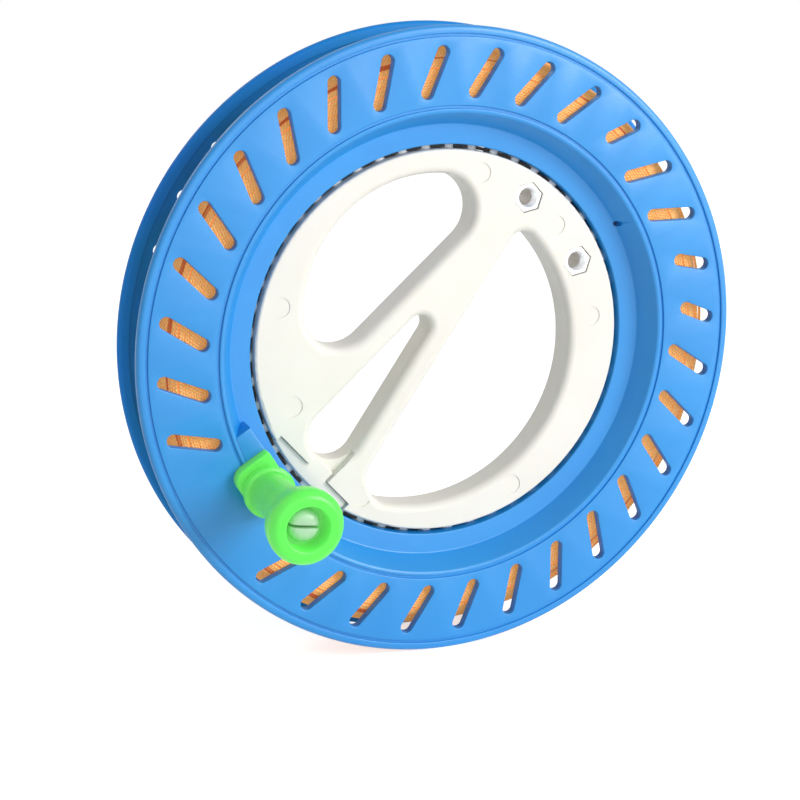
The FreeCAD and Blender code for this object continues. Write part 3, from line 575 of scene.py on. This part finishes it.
def on_heap(share, depth):
    """Radius and height this deep under the line's rounded outside, from side to side."""
    turn = share * (heap_reach - HEAP_OFF_SIDES)
    from_centre = heap_radius - depth
    return heap_centre + from_centre * math.cos(turn), from_centre * math.sin(turn)


core = [(DRUM_RADIUS + CORE_OFF_DRUM, CORE_OFF_SIDES - LINE_HALF_WIDTH, 0)]
core += [(*on_heap(step / 8 - 1, TURN_THICKNESS), 0) for step in range(17)]
core.append((DRUM_RADIUS + CORE_OFF_DRUM, LINE_HALF_WIDTH - CORE_OFF_SIDES, 0))
bm = turned_ring(core, TURN_STEPS)
outside_rows = int(2 * heap_reach * heap_radius / TURN_THICKNESS)
for number in range(outside_rows + 1):
    turn_of_line(bm, *on_heap(number / outside_rows * 2 - 1, TURN_THICKNESS / 2))
layers = int((LINE_SIDE_RADIUS - DRUM_RADIUS - STACK_UNDER_SIDE) / TURN_THICKNESS)
for side in (-1, 1):
    for number in range(layers + 2):
        turn_of_line(bm, DRUM_RADIUS + STACK_OFF_DRUM + number * TURN_THICKNESS,
                     side * (LINE_HALF_WIDTH - TURN_THICKNESS / 2))
for radius, height, slack, slack_angle in SLACK_TURNS:
    turn_of_line(bm, radius, height, slack, slack_angle)
bpy.data.meshes.remove(one_turn)
wound_line = as_piece(bm, "wound_line", "spool", "line_winding", sharp=80)


def maths(tree, operation, first, second=None):
    """One step of arithmetic on sockets or plain numbers."""
    node = tree.nodes.new("ShaderNodeMath")
    node.operation = operation
    for socket, value in zip(node.inputs, (first, second)):
        if isinstance(value, bpy.types.NodeSocket):
            tree.links.new(value, socket)
        elif value is not None:
            socket.default_value = value
    return node.outputs[0]


# The line also glows a little in its own colours: painted light that brightens the turns lying in
# shade under the flange.
line_finish, tree, thread = new_finish("orange_kite_line")
thread.inputs["Roughness"].default_value = 0.62
thread.inputs["Sheen Weight"].default_value = 0.15
thread.inputs["Emission Strength"].default_value = 0.27
place = tree.nodes.new("ShaderNodeTexCoord").outputs["Object"]
split = tree.nodes.new("ShaderNodeSeparateXYZ")
tree.links.new(place, split.inputs[0])
across, backwards, upwards = (split.outputs[axis] for axis in "XYZ")
around_reel = maths(tree, "ARCTAN2", upwards, across)
square = maths(tree, "ADD", maths(tree, "MULTIPLY", across, across),
               maths(tree, "MULTIPLY", upwards, upwards))
from_axis = maths(tree, "SQRT", square)

# Fine slanting stripes are the twist of the strands.
lay = maths(tree, "MULTIPLY", around_reel, TWISTS_PER_TURN)
across_lay = maths(tree, "ADD", maths(tree, "MULTIPLY", from_axis, TWIST_SLANT_OUTWARDS),
                   maths(tree, "MULTIPLY", backwards, TWIST_SLANT_SIDEWAYS))
twist = maths(tree, "SINE", maths(tree, "ADD", lay, across_lay))

# Each turn has its own brown stretches, most of them in one layer of the heap and on
# its left side.
turns_per_metre = 1000 / TURN_THICKNESS
layer_number = maths(tree, "FLOOR", maths(tree, "MULTIPLY", from_axis, turns_per_metre))
row_number = maths(tree, "FLOOR", maths(tree, "MULTIPLY", backwards, turns_per_metre))
strand = tree.nodes.new("ShaderNodeCombineXYZ")
tree.links.new(maths(tree, "MULTIPLY", layer_number, 0.73), strand.inputs[0])
tree.links.new(maths(tree, "MULTIPLY", row_number, 0.41), strand.inputs[1])
tree.links.new(maths(tree, "MULTIPLY", around_reel, 1.1), strand.inputs[2])
dye = noise_of(tree, strand.outputs[0], 1.6, 1, 0.4)
band_inside = spread(tree, from_axis, -0.1, 0.2, *BROWN_BAND_INNER_EDGE)
band_outside = spread(tree, from_axis, 0.0, -0.3, *BROWN_BAND_OUTER_EDGE)
paler_side = spread(tree, across, 0.0, -0.14, -0.02, 0.05)
band = maths(tree, "ADD", maths(tree, "ADD", band_inside, band_outside), paler_side)
brown = spread(tree, maths(tree, "ADD", dye, band), 0.0, 1.0, 0.60, 0.68)

orange = blended(tree, spread(tree, noise_of(tree, place, 420, 3, 0.6), 0, 1),
                 LINE_TAN, LINE_ORANGE)
tone = blended(tree, brown, orange, LINE_BROWN)
shade = blended(tree, spread(tree, twist, 0.0, 0.45, -0.2, 1.0), tone, LINE_TWIST_SHADE)
tree.links.new(shade, thread.inputs["Base Color"])
tree.links.new(shade, thread.inputs["Emission Color"])
bumped(tree, thread, twist, 0.00007)
bumped(tree, thread, noise_of(tree, place, 5200, 3, 0.7), 0.00004)
dress(wound_line, line_finish)
dress(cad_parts["line_knot"], line_finish)

# ---------------------------------------------------------------- hand grip
# Two white mouldings, front and rear, with a thumb opening and a finger opening on
# either side of a tapered bar. The shapes are the moulded shells themselves, with their
# facets merged so that the rounded edges shade as one surface.
WARM_WHITE = srgb(231, 228, 220)
SHADED_WHITE = srgb(226, 222, 213)
grip_finish = moulded_plastic("white_plastic", WARM_WHITE, SHADED_WHITE, 0.5, 0.00001)
grip_surface = grip_finish.node_tree.nodes["Principled BSDF"]
grip_surface.inputs["Subsurface Weight"].default_value = 0.12
grip_surface.inputs["Subsurface Radius"].default_value = (1.0, 0.8, 0.6)
grip_surface.inputs["Subsurface Scale"].default_value = 0.0012


def merged_shell(node, name):
    """A copy of a CAD piece with its facets joined, its rounded edges smooth, in its place."""
    bm = bmesh.new()
    bm.from_mesh(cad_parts[node].data)
    bmesh.ops.remove_doubles(bm, verts=bm.verts, dist=1e-6)
    bmesh.ops.dissolve_limit(bm, angle_limit=math.radians(0.4), verts=bm.verts, edges=bm.edges)
    piece = object_from(name, bm)
    smooth_shade(piece.data, 30)
    even = piece.modifiers.new("even_shading", "WEIGHTED_NORMAL")
    even.keep_sharp = True
    even.weight = 90
    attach(piece, "grip")
    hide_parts(node)
    dress(piece, grip_finish)


merged_shell("grip_front_shell", "grip_front")
merged_shell("grip_rear_shell", "grip_rear")

# ---------------------------------------------------------------- nuts in the grip
# Two bright zinc-plated M5 nuts pressed flush into hexagon pockets of the grip's face,
# open right through, with their threads cut inside.
NUT_PLACES = ((26.75, 40.3), (42.6, 20.75))
NUT_CORNER_RADIUS = 4.44
NUT_CORNER_ANGLE = 71.5
NUT_LOW = 1.7
NUT_HIGH = 5.3
NUT_MOUTH = 3.1
THREAD_CREST = 2.5
THREAD_ROOT = 2.8
THREAD_PITCH = 0.8
NUT_SOFTNESS = 0.22
NUT_STEPS = 32


def zinc_plating(name, colour, dull_colour, clouds, wear, gloss, grain, depth):
    """Zinc-plated steel: clouds, wear and grain are noises, and gloss a span of roughness."""
    finish, tree, metal = new_finish(name)
    metal.inputs["Metallic"].default_value = 1.0
    place = tree.nodes.new("ShaderNodeTexCoord").outputs["Object"]
    mottle = spread(tree, noise_of(tree, place, *clouds), 0, 1)
    tree.links.new(blended(tree, mottle, colour, dull_colour), metal.inputs["Base Color"])
    tree.links.new(spread(tree, noise_of(tree, place, *wear), *gloss), metal.inputs["Roughness"])
    bumped(tree, metal, noise_of(tree, place, *grain), depth)
    return finish


bright_zinc = zinc_plating("bright_zinc", srgb(246, 246, 247), srgb(230, 231, 234),
                           clouds=(700, 3, 0.6), wear=(1500, 4, 0.7), gloss=(0.3, 0.42),
                           grain=(4200, 2, 0.5), depth=0.000004)

bm = bmesh.new()
for x, y in NUT_PLACES:
    nut = bmesh.new()
    edges = loop_of(nut, [polar(NUT_CORNER_RADIUS, NUT_CORNER_ANGLE + 60 * k, NUT_LOW)
                          for k in range(6)])
    edges += loop_of(nut, [polar(NUT_MOUTH - 0.2, 360 * k / NUT_STEPS, NUT_LOW)
                           for k in range(NUT_STEPS)])
    bmesh.ops.triangle_fill(nut, use_beauty=True, use_dissolve=False, edges=edges)
    thicken(nut, list(nut.faces), NUT_HIGH - NUT_LOW, NUT_SOFTNESS, soft_below=False)
    thread_profile = [(THREAD_ROOT + 0.12, NUT_LOW, 0)]
    for k in range(int((NUT_HIGH - NUT_LOW - 0.3) / THREAD_PITCH)):
        start = NUT_LOW + 0.1 + k * THREAD_PITCH
        thread_profile += [(THREAD_ROOT, start, 0), (THREAD_CREST, start + THREAD_PITCH * 0.45, 0),
                           (THREAD_CREST, start + THREAD_PITCH * 0.55, 0)]
    thread_profile += [(THREAD_ROOT, start + THREAD_PITCH, 0),
                       (NUT_MOUTH, NUT_HIGH - 0.05, 0), (NUT_MOUTH, NUT_HIGH - 0.4, 0)]
    placed = add(bm, nut) + add(bm, turned_ring(thread_profile, NUT_STEPS))
    bmesh.ops.translate(bm, vec=(x, y, 0), verts=placed)
dress(as_piece(bm, "grip_hex_nuts", "grip", "grip_nuts", sharp=30), bright_zinc)

# ---------------------------------------------------------------- screws and spring
# Plain zinc-plated steel: the cross-head screws driven in from the rear of the grip and
# of the spool, the screw up into the knob's post, and the leaf spring under the lock.
plain_zinc = zinc_plating("plain_zinc", srgb(190, 192, 196), srgb(150, 152, 158),
                          clouds=(900, 4, 0.6), wear=(2100, 3, 0.7), gloss=(0.28, 0.5),
                          grain=(6000, 2, 0.5), depth=0.00001)
for node in ("grip_screws", "spool_screws", "knob_post_screw", "lock_spring"):
    dress(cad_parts[node], plain_zinc)

# ---------------------------------------------------------------- slide lock
# A white T-shaped slider that lies in its recess at the grip's edge, a little lower than
# the grip's face. Its stem reaches the slot in the bar, where a finger tip pushes it out.
BAR_ANGLE = 41.5
LOCK_LOW = 2.95
LOCK_TOP = 4.4
LOCK_SIDE_ENDS = (-14.3, 15.3)
LOCK_STEM = (-4.9, 2.9)
LOCK_HEAD_EDGE = -51.1
LOCK_STEM_END = -47.9
LOCK_RIM = 55.2

start = 180 - math.degrees(math.asin(LOCK_SIDE_ENDS[1] / LOCK_RIM))
end = 180 - math.degrees(math.asin(LOCK_SIDE_ENDS[0] / LOCK_RIM))
outline = [polar(LOCK_RIM, start + (end - start) * k / 24)[:2] for k in range(25)]
outline += [
    (LOCK_HEAD_EDGE, LOCK_SIDE_ENDS[0]),
    (LOCK_HEAD_EDGE, LOCK_STEM[0]),
    (LOCK_STEM_END, LOCK_STEM[0]),
    (LOCK_STEM_END, LOCK_STEM[1]),
    (LOCK_HEAD_EDGE, LOCK_STEM[1]),
    (LOCK_HEAD_EDGE, LOCK_SIDE_ENDS[1]),
]
bm = bmesh.new()
slab(bm, outline, LOCK_LOW, LOCK_TOP, 0.55)
bmesh.ops.rotate(bm, verts=bm.verts, cent=(0, 0, 0),
                 matrix=Matrix.Rotation(math.radians(BAR_ANGLE), 3, "Z"))
dress(as_piece(bm, "lock_slide", "lock", "lock_slider"), grip_finish)

# ---------------------------------------------------------------- balls and cage
# Fifty glossy white plastic balls roll between the grip and the spool, kept apart by a
# black crown-shaped cage that is open towards the front.
BALL_COUNT = 50
BALL_RADIUS = 2.25

bm = bmesh.new()
for number in range(BALL_COUNT):
    ball = bmesh.ops.create_uvsphere(bm, u_segments=20, v_segments=12, radius=BALL_RADIUS)
    bmesh.ops.translate(bm, vec=polar(RACE_CIRCLE, 360 * number / BALL_COUNT), verts=ball["verts"])
dress(as_piece(bm, "ball_ring", "ball_set", "bearing_balls", sharp=80),
      moulded_plastic("glossy_white_balls", srgb(252, 252, 251), srgb(246, 246, 244), 0.16,
                      grain=0.000004))
dress(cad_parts["ball_cage"],
      moulded_plastic("black_plastic", srgb(16, 17, 20), srgb(24, 25, 28), 0.5))

# ---------------------------------------------------------------- knob and its base
# A bright green moulded knob that turns freely on a post, on a green block with one
# round and one square end that is fixed to the spool's raised platform.
BASE_TOP = 16.1
BASE_HALF_WIDTH = 6.2
BASE_LENGTH = 9.2
BASE_CORNERS = (0.8, 4.0)
KNOB_LOW = 16.55
KNOB_LEDGE = 45.85
KNOB_BORE = 4.05
KNOB_RECESS = 5.9
KNOB_STEPS = 96
KNOB_OUTSIDE = (
    # radius, height over the knob's lower end, rounding
    (7.3, 0.0, 0.5),
    (7.3, 2.0, 0.5),
    (6.1, 2.3, 0.5),
    (5.75, 6.0, 3.0),
    (5.85, 13.5, 4.0),
    (7.6, 23.0, 4.5),
    (10.3, 29.0, 3.4),
    (10.2, 34.1, 2.4),
    (8.2, 35.0, 1.0),
)
KNOB_HIGH = KNOB_LOW + KNOB_OUTSIDE[-1][1]

LIME_GREEN = srgb(58, 216, 46)
DEEP_LIME_GREEN = srgb(48, 207, 38)
KNOB_PAINTED_GLOW = (0.36, 1.0, 0.3, 1)

# The plastic lets light in. The knob also glows a little green: painted light that brightens its
# shaded neck and sides.
knob_finish = moulded_plastic("lime_green_plastic", LIME_GREEN, DEEP_LIME_GREEN, 0.34)
knob_surface = knob_finish.node_tree.nodes["Principled BSDF"]
knob_surface.inputs["Subsurface Weight"].default_value = 1.0
knob_surface.inputs["Subsurface Radius"].default_value = (0.4, 1.0, 0.35)
knob_surface.inputs["Subsurface Scale"].default_value = 0.008
knob_surface.inputs["Emission Color"].default_value = KNOB_PAINTED_GLOW
knob_surface.inputs["Emission Strength"].default_value = 0.23
AT_KNOB = (Matrix.Rotation(math.radians(KNOB_ANGLE), 4, "Z")
           @ Matrix.Translation((KNOB_CIRCLE, 0, 0)))

bm = bmesh.new()
outline = [polar(BASE_HALF_WIDTH, 180 * k / 16)[:2] for k in range(17)]
for side, corner, begin in ((-1, BASE_CORNERS[0], 180), (1, BASE_CORNERS[1], 270)):
    for k in range(7):
        turn = math.radians(begin + 90 * k / 6)
        outline.append((side * (BASE_HALF_WIDTH - corner) + corner * math.cos(turn),
                        corner - BASE_LENGTH + corner * math.sin(turn)))
slab(bm, outline, HALF_WIDTH, BASE_TOP, 0.55)
bmesh.ops.transform(bm, matrix=AT_KNOB, verts=bm.verts)
dress(as_piece(bm, "knob_block", "spool", "knob_base"), knob_finish)

bm = turned_ring([
    (KNOB_BORE, KNOB_LOW, 0.2),
    *((radius, KNOB_LOW + height, rounding) for radius, height, rounding in KNOB_OUTSIDE),
    (KNOB_RECESS, KNOB_HIGH, 0.7),
    (KNOB_RECESS - 0.1, KNOB_LEDGE, 0.3),
    (KNOB_BORE, KNOB_LEDGE, 0.2),
], KNOB_STEPS)
bmesh.ops.transform(bm, matrix=AT_KNOB, verts=bm.verts)
dress(as_piece(bm, "turning_knob", "knob", "knob_grip", sharp=45), knob_finish)

# ---------------------------------------------------------------- knob post and washer
# A pale translucent post with a foot under the base. Its end is split, and the two
# halves spring apart over a ledge inside the knob, which keeps the knob on.
POST_RADIUS = 4.0
POST_HEAD_RADIUS = 4.5
POST_TIP_RADIUS = 3.1
POST_TOP = 49.4
POST_TIP = 49.05
POST_SHOULDER = 47.7
POST_LEDGE = 45.9
POST_FOOT_RADIUS = 5.5
POST_FOOT_LOW = HALF_WIDTH + 0.02
POST_FOOT_TOP = 14.3
POST_STEPS = 48
SLIT_HALF_WIDTH = 0.45
SLIT_LOW = 34.4
SLIT_ANGLE = -8.0
AXIS_HOLE = 0.02

post_finish = moulded_plastic("pale_translucent_plastic", srgb(178, 212, 180),
                              srgb(168, 204, 170), 0.3)
post_surface = post_finish.node_tree.nodes["Principled BSDF"]
post_surface.inputs["Subsurface Weight"].default_value = 0.9
post_surface.inputs["Subsurface Radius"].default_value = (0.8, 1.0, 0.8)
post_surface.inputs["Subsurface Scale"].default_value = 0.006

bm = turned_ring([
    (AXIS_HOLE, SLIT_LOW, 0),
    (POST_RADIUS, SLIT_LOW, 0),
    (POST_RADIUS, POST_LEDGE, 0),
    (POST_HEAD_RADIUS, POST_LEDGE, 0.2),
    (POST_HEAD_RADIUS, POST_SHOULDER, 0.9),
    (POST_TIP_RADIUS, POST_TIP, 0.9),
    (AXIS_HOLE, POST_TOP, 0),
], POST_STEPS)
for v in bm.verts:
    on_axis = math.hypot(v.co.x, v.co.y) < AXIS_HOLE * 1.5
    v.co.x = 0 if on_axis else max(-POST_RADIUS, min(POST_RADIUS, v.co.x))
    v.co.y = 0 if on_axis else v.co.y
bmesh.ops.remove_doubles(bm, verts=bm.verts, dist=1e-4)
halves = bmesh.ops.bisect_plane(bm, geom=list(bm.verts) + list(bm.edges) + list(bm.faces),
                                plane_co=(0, SLIT_HALF_WIDTH, 0), plane_no=(0, 1, 0),
                                clear_inner=True)
cut_edges = [item for item in halves["geom_cut"] if isinstance(item, bmesh.types.BMEdge)]
bmesh.ops.edgeloop_fill(bm, edges=cut_edges)
bmesh.ops.recalc_face_normals(bm, faces=bm.faces)
sharp_edges = [e for e in bm.edges if e.is_manifold and e.calc_face_angle() > math.radians(60)
               and all(abs(v.co.y - SLIT_HALF_WIDTH) < 1e-4 for v in e.verts)]
bmesh.ops.bevel(bm, geom=sharp_edges, offset=0.6, affect="EDGES", segments=4, profile=0.5,
                material=-1, clamp_overlap=True)
other = bmesh.ops.duplicate(bm, geom=list(bm.verts) + list(bm.edges) + list(bm.faces))
other_half = [item for item in other["geom"] if isinstance(item, bmesh.types.BMVert)]
bmesh.ops.rotate(bm, verts=other_half, cent=(0, 0, 0), matrix=Matrix.Rotation(math.pi, 3, "Z"))
bmesh.ops.rotate(bm, verts=bm.verts, cent=(0, 0, 0),
                 matrix=Matrix.Rotation(math.radians(SLIT_ANGLE - KNOB_ANGLE), 3, "Z"))
add(bm, turned_ring([
    (AXIS_HOLE, POST_FOOT_LOW, 0),
    (POST_FOOT_RADIUS, POST_FOOT_LOW, 0),
    (POST_FOOT_RADIUS, POST_FOOT_TOP, 0.3),
    (POST_RADIUS, POST_FOOT_TOP, 0),
    (POST_RADIUS, SLIT_LOW, 0),
    (AXIS_HOLE, SLIT_LOW, 0),
], POST_STEPS))
bmesh.ops.transform(bm, matrix=AT_KNOB, verts=bm.verts)
dress(as_piece(bm, "snap_post", "spool", "knob_post", sharp=40), post_finish)
dress(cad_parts["knob_washer"], post_finish)
